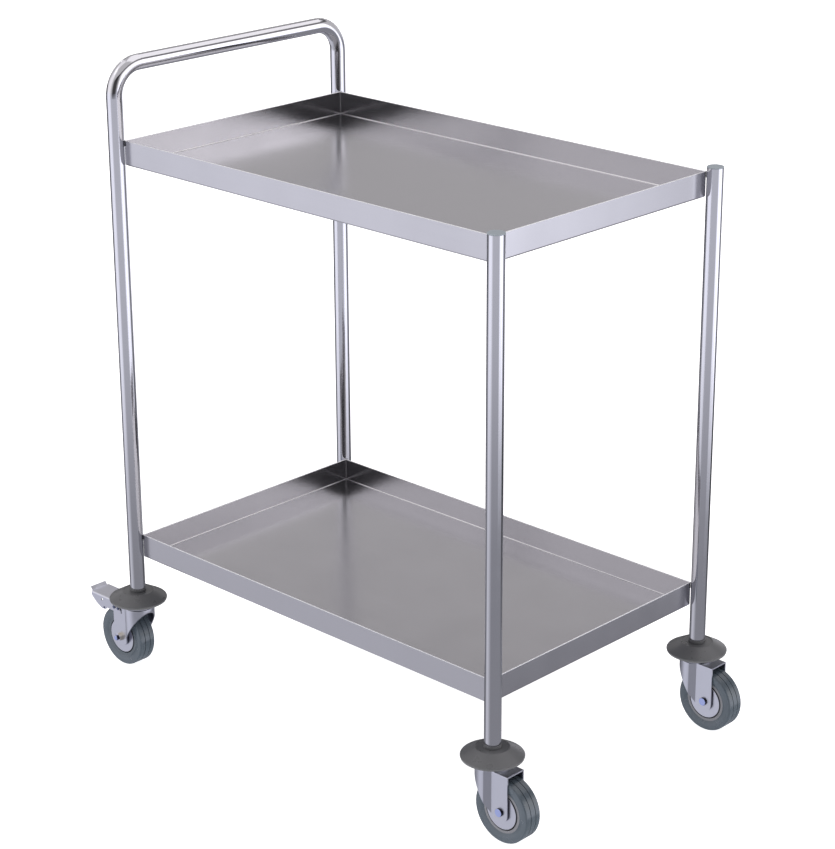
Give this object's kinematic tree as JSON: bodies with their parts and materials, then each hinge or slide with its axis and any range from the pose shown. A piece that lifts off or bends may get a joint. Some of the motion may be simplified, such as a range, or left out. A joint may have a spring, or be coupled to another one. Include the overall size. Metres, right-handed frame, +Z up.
{
  "type": "instrument cart",
  "caption": "Wheeled instrument cart with stacked open steel trays between tube posts, a push bar at one end and braked swivel casters.",
  "frame": {"origin": "on the floor, under the middle of the outer box of the whole cart", "axes": "+Z up, +X from the push bar towards the open end, Y across the cart"},
  "size_m": [0.979, 0.5746, 1.0284],
  "materials": {
    "tube_steel": "polished stainless tube",
    "tray_steel": "satin stainless sheet",
    "weld_steel": "dull welded steel",
    "cap_plastic": "smooth blue-grey moulded plastic",
    "bumper_plastic": "dark grey satin moulded plastic",
    "fork_steel": "bright zinc-plated pressed steel",
    "ball_steel": "polished bearing balls",
    "bolt_zinc": "blue-passivated zinc",
    "pin_steel": "dark blued steel pins",
    "nut_zinc": "pale zinc",
    "wheel_plastic": "grey moulded wheel centre",
    "core_rubber": "blue-grey moulded wheel centre",
    "tyre_rubber": "blue-grey non-marking rubber"
  },
  "bodies": {
    "root": {"handle_frame": "tube_steel", "front_post_right": "tube_steel", "post_cap_right": "cap_plastic", "front_post_left": "tube_steel", "post_cap_left": "cap_plastic", "upper_tray": "tray_steel", "lower_tray": "tray_steel", "tray_weld_lugs": "weld_steel", "bumper_front_right": "bumper_plastic", "stem_front_right": "fork_steel", "swivel_race_front_right": "fork_steel", "bumper_front_left": "bumper_plastic", "stem_front_left": "fork_steel", "swivel_race_front_left": "fork_steel", "bumper_rear_right": "bumper_plastic", "stem_rear_right": "fork_steel", "swivel_race_rear_right": "fork_steel", "bumper_rear_left": "bumper_plastic", "stem_rear_left": "fork_steel", "swivel_race_rear_left": "fork_steel", "swivel_balls": "ball_steel"},
    "caster_front_right": {"fork_front_right": "fork_steel", "thread_guards_front_right": "fork_steel", "axle_bolt_front_right": "bolt_zinc", "axle_nut_front_right": "nut_zinc", "axle_sleeve_front_right": "fork_steel"},
    "wheel_front_right": {"wheel_core_front_right": "wheel_plastic", "tyre_front_right": "tyre_rubber"},
    "caster_front_left": {"fork_front_left": "fork_steel", "thread_guards_front_left": "fork_steel", "axle_bolt_front_left": "bolt_zinc", "axle_nut_front_left": "nut_zinc", "axle_sleeve_front_left": "fork_steel"},
    "wheel_front_left": {"wheel_core_front_left": "wheel_plastic", "tyre_front_left": "tyre_rubber"},
    "brake_rear_right": {"brake_pedal_rear_right": "fork_steel", "brake_bar_rear_right": "pin_steel"},
    "caster_rear_right": {"fork_rear_right": "fork_steel", "thread_guards_rear_right": "fork_steel", "axle_bolt_rear_right": "bolt_zinc", "axle_nut_rear_right": "nut_zinc", "axle_sleeve_rear_right": "fork_steel", "pedal_pivot_pin_rear_right": "pin_steel", "pedal_stop_pin_rear_right": "pin_steel"},
    "wheel_rear_right": {"wheel_core_rear_right": "core_rubber", "tyre_rear_right": "tyre_rubber"},
    "brake_rear_left": {"brake_pedal_rear_left": "fork_steel", "brake_bar_rear_left": "pin_steel"},
    "caster_rear_left": {"fork_rear_left": "fork_steel", "thread_guards_rear_left": "fork_steel", "axle_bolt_rear_left": "bolt_zinc", "axle_nut_rear_left": "nut_zinc", "axle_sleeve_rear_left": "fork_steel", "pedal_pivot_pin_rear_left": "pin_steel", "pedal_stop_pin_rear_left": "pin_steel"},
    "wheel_rear_left": {"wheel_core_rear_left": "core_rubber", "tyre_rear_left": "tyre_rubber"}
  },
  "joints": [
    {"name": "swivel_front_right", "type": "hinge", "parent": "root", "child": "caster_front_right", "pos_m": [0.40905, -0.23975, 0.1113], "axis": [0, 0, 1], "continuous": true},
    {"name": "roll_front_right", "type": "hinge", "parent": "caster_front_right", "child": "wheel_front_right", "pos_m": [0.43945, -0.23975, 0.05], "axis": [0, 1, 0], "continuous": true},
    {"name": "swivel_front_left", "type": "hinge", "parent": "root", "child": "caster_front_left", "pos_m": [0.40905, 0.23975, 0.1113], "axis": [0, 0, 1], "continuous": true},
    {"name": "roll_front_left", "type": "hinge", "parent": "caster_front_left", "child": "wheel_front_left", "pos_m": [0.43945, 0.23975, 0.05], "axis": [0, 1, 0], "continuous": true},
    {"name": "swivel_rear_right", "type": "hinge", "parent": "root", "child": "caster_rear_right", "pos_m": [-0.38295, -0.23975, 0.1113], "axis": [0, 0, 1], "continuous": true},
    {"name": "roll_rear_right", "type": "hinge", "parent": "caster_rear_right", "child": "wheel_rear_right", "pos_m": [-0.41335, -0.23975, 0.05], "axis": [0, 1, 0], "continuous": true},
    {"name": "pedal_rear_right", "type": "hinge", "parent": "caster_rear_right", "child": "brake_rear_right", "pos_m": [-0.42315, -0.23975, 0.1018], "axis": [0, -1, 0], "range_deg": [0, 7.5]},
    {"name": "swivel_rear_left", "type": "hinge", "parent": "root", "child": "caster_rear_left", "pos_m": [-0.38295, 0.23975, 0.1113], "axis": [0, 0, 1], "continuous": true},
    {"name": "roll_rear_left", "type": "hinge", "parent": "caster_rear_left", "child": "wheel_rear_left", "pos_m": [-0.41335, 0.23975, 0.05], "axis": [0, 1, 0], "continuous": true},
    {"name": "pedal_rear_left", "type": "hinge", "parent": "caster_rear_left", "child": "brake_rear_left", "pos_m": [-0.42315, 0.23975, 0.1018], "axis": [0, -1, 0], "range_deg": [0, 7.5]}
  ]
}
